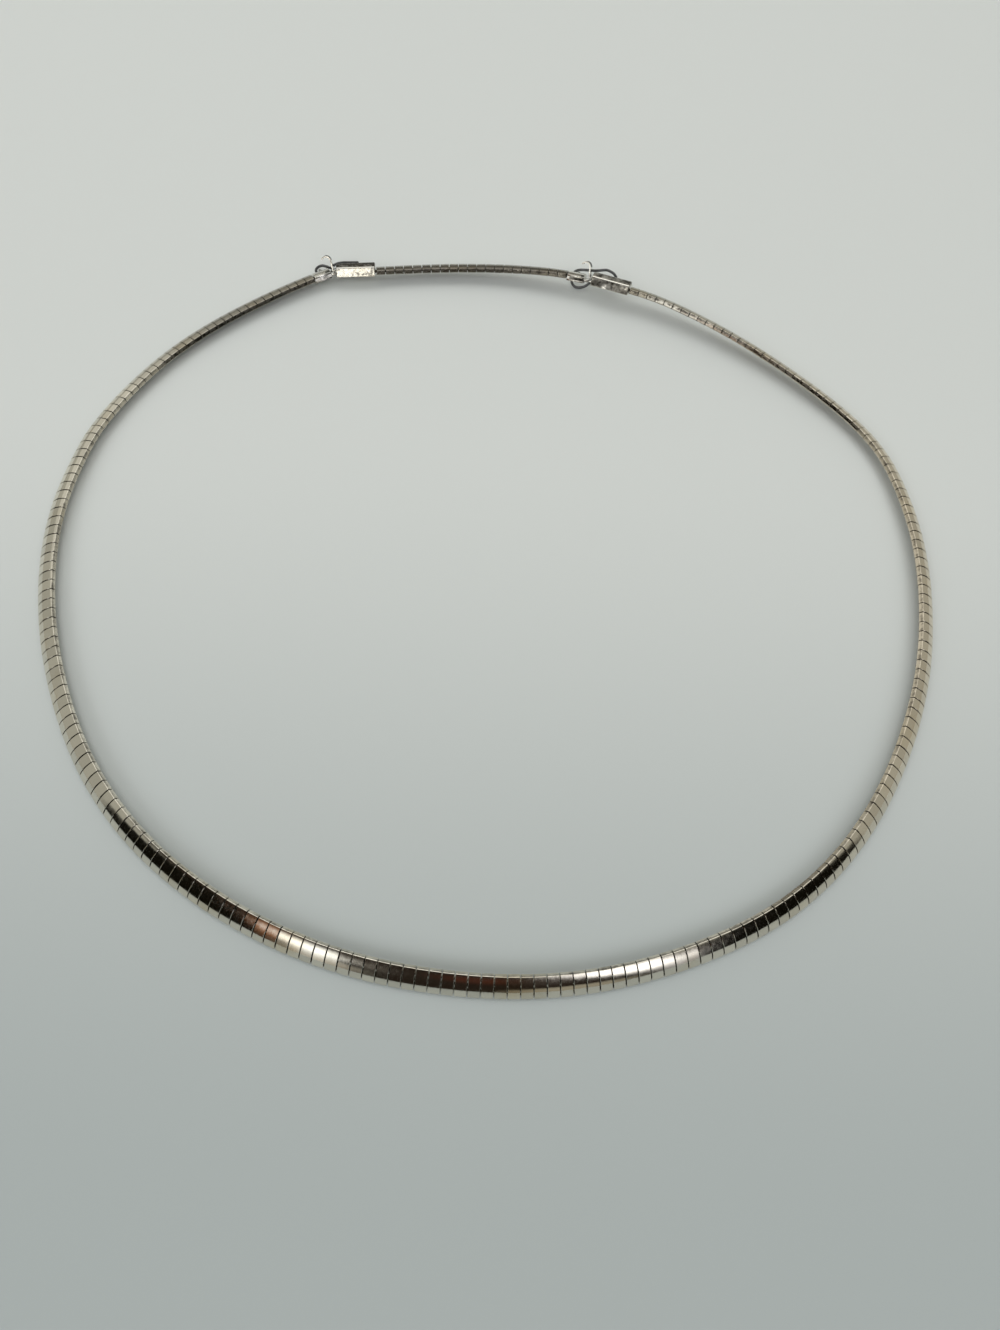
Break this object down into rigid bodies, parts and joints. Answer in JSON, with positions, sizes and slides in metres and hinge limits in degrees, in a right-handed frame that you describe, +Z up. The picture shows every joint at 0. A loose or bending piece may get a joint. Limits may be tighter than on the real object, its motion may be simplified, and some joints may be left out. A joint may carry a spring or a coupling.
{
  "type": "omega necklace",
  "caption": "Silver omega necklace: domed plates strung edge to edge on a flat woven core, closed by two box clasps with thumb levers and wire safety catches.",
  "frame": {"origin": "on the surface that the necklace lies on, under the middle of the loop's bounding box", "axes": "+Z up from the surface, +X to the wearer's side with the right clasp, +Y from the front of the loop to the clasps at the back"},
  "size_m": [0.1494, 0.1369, 0.0065],
  "materials": {
    "plate_silver": "polished silver, aged, with warm tarnish along the edges",
    "core_mesh": "woven wire, dark with tarnish",
    "clasp_silver": "polished silver, scratched and tarnished in the corners",
    "catch_steel": "drawn wire, dull grey"
  },
  "bodies": {
    "necklace": {"main_plates": "plate_silver", "main_core": "core_mesh", "extender_plates": "plate_silver", "extender_core": "core_mesh", "right_box": "clasp_silver", "left_box": "clasp_silver", "right_tongue": "clasp_silver", "left_tongue": "clasp_silver"},
    "right_safety": {"right_catch": "catch_steel"},
    "left_safety": {"left_catch": "catch_steel"}
  },
  "joints": [
    {"name": "right_catch_hinge", "type": "hinge", "parent": "necklace", "child": "right_safety", "pos_m": [0.02092, 0.06503, 0.00254], "axis": [-0.1626, -0.5755, -0.8015], "range_deg": [0, 150]},
    {"name": "left_catch_hinge", "type": "hinge", "parent": "necklace", "child": "left_safety", "pos_m": [-0.02973, 0.06574, 0.00122], "axis": [0.0807, -0.5892, -0.804], "range_deg": [0, 150]}
  ]
}
